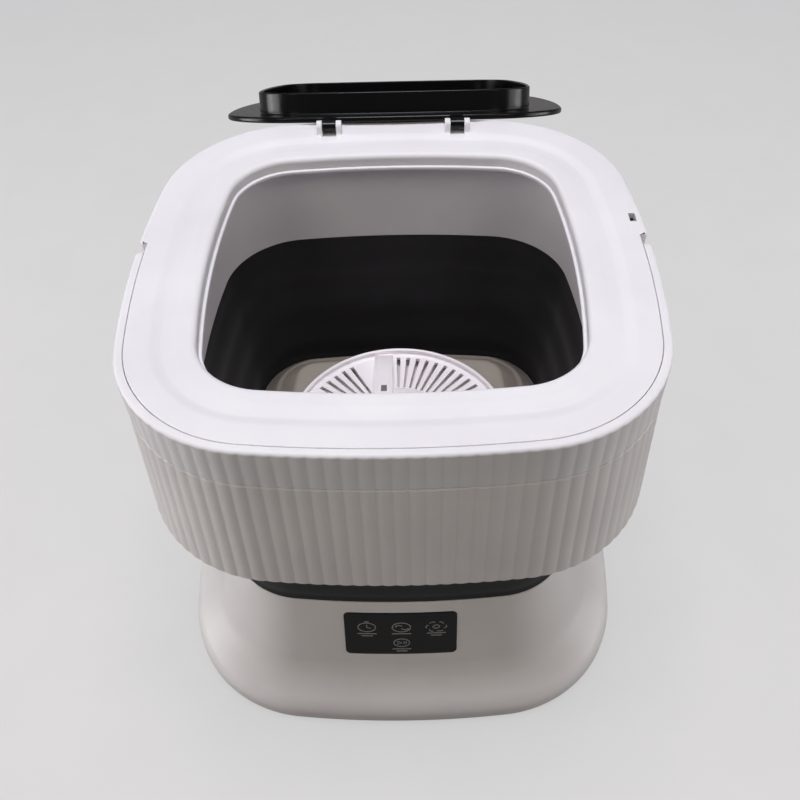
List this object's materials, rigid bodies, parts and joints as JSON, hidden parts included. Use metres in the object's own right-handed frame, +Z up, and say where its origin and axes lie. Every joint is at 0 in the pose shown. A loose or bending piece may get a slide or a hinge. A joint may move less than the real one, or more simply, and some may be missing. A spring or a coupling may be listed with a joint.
{
  "type": "mini washing machine",
  "caption": "Collapsible mini washing machine: fluted shell, rubber bellows tub, carry handle, smoked lid hinged open, slotted pulsator and touch panel on the base.",
  "frame": {"origin": "on the floor, under the middle of the base and on the drive shaft's axis", "axes": "+Z up; the front with the touch panel faces -Y; +X is to the right seen from the front"},
  "size_m": [0.3744, 0.6143, 0.3516],
  "materials": {
    "white_shell": "satin",
    "shade_shell": "satin",
    "pulsator_white": "gloss",
    "bellows_rubber": "matt",
    "smoked_lid": "gloss",
    "gloss_panel": "gloss",
    "dark_plastic": "satin",
    "soft_rubber": "matt",
    "steel": "brushed",
    "board_green": "satin"
  },
  "bodies": {
    "base": {"base_housing": "shade_shell", "bottom_plate": "shade_shell", "rubber_feet": "soft_rubber", "bottom_screws": "steel", "tub_floor": "shade_shell", "floor_screws": "steel", "lower_clamp_ring": "dark_plastic", "bellows": "bellows_rubber", "shaft_seal": "soft_rubber", "bearing_housing": "dark_plastic", "upper_bearing": "steel", "lower_bearing": "steel", "drive_belt": "soft_rubber", "motor": "steel", "motor_bracket": "steel", "bracket_screws": "steel", "control_panel": "gloss_panel", "control_board": "board_green", "power_inlet": "dark_plastic", "drain_pipe": "dark_plastic", "drain_spigot": "dark_plastic"},
    "upper": {"upper_clamp_ring": "dark_plastic", "clamp_screws": "steel", "tub_collar": "white_shell", "collar_screws": "steel", "outer_shell": "shade_shell", "top_cover": "white_shell", "shell_screws": "steel", "handle_pivot_pins": "steel", "lid_hinge_pins": "steel"},
    "handle": {"carry_handle": "white_shell"},
    "lid": {"lid": "smoked_lid"},
    "agitator": {"pulsator": "pulsator_white", "pulsator_screw": "steel", "pulsator_cap": "pulsator_white", "drive_shaft": "steel", "driven_pulley": "dark_plastic", "pulley_nut": "steel"},
    "motor_rotor": {"motor_shaft": "steel", "motor_pulley": "dark_plastic"}
  },
  "joints": [
    {"name": "collapse", "type": "slide", "parent": "base", "child": "upper", "axis": [0, 0, -1], "range_m": [0, 0.118], "deforming": ["bellows"]},
    {"name": "lid_hinge", "type": "hinge", "parent": "upper", "child": "lid", "pos_m": [0, 0.155, 0.3461], "axis": [1, 0, 0], "range_deg": [0, 205.7]},
    {"name": "handle_pivot", "type": "hinge", "parent": "upper", "child": "handle", "pos_m": [0, -0.002, 0.3258], "axis": [-1, 0, 0], "range_deg": [0, 90]},
    {"name": "agitator_spin", "type": "hinge", "parent": "base", "child": "agitator", "pos_m": [0, 0, 0.15], "axis": [0, 0, 1], "continuous": true},
    {"name": "motor_spin", "type": "hinge", "parent": "base", "child": "motor_rotor", "pos_m": [-0.086, 0, 0.09], "axis": [0, 0, 1], "continuous": true}
  ],
  "couplings": [
    {"joint": "motor_spin", "follows": "agitator_spin", "ratio": 5.21}
  ]
}
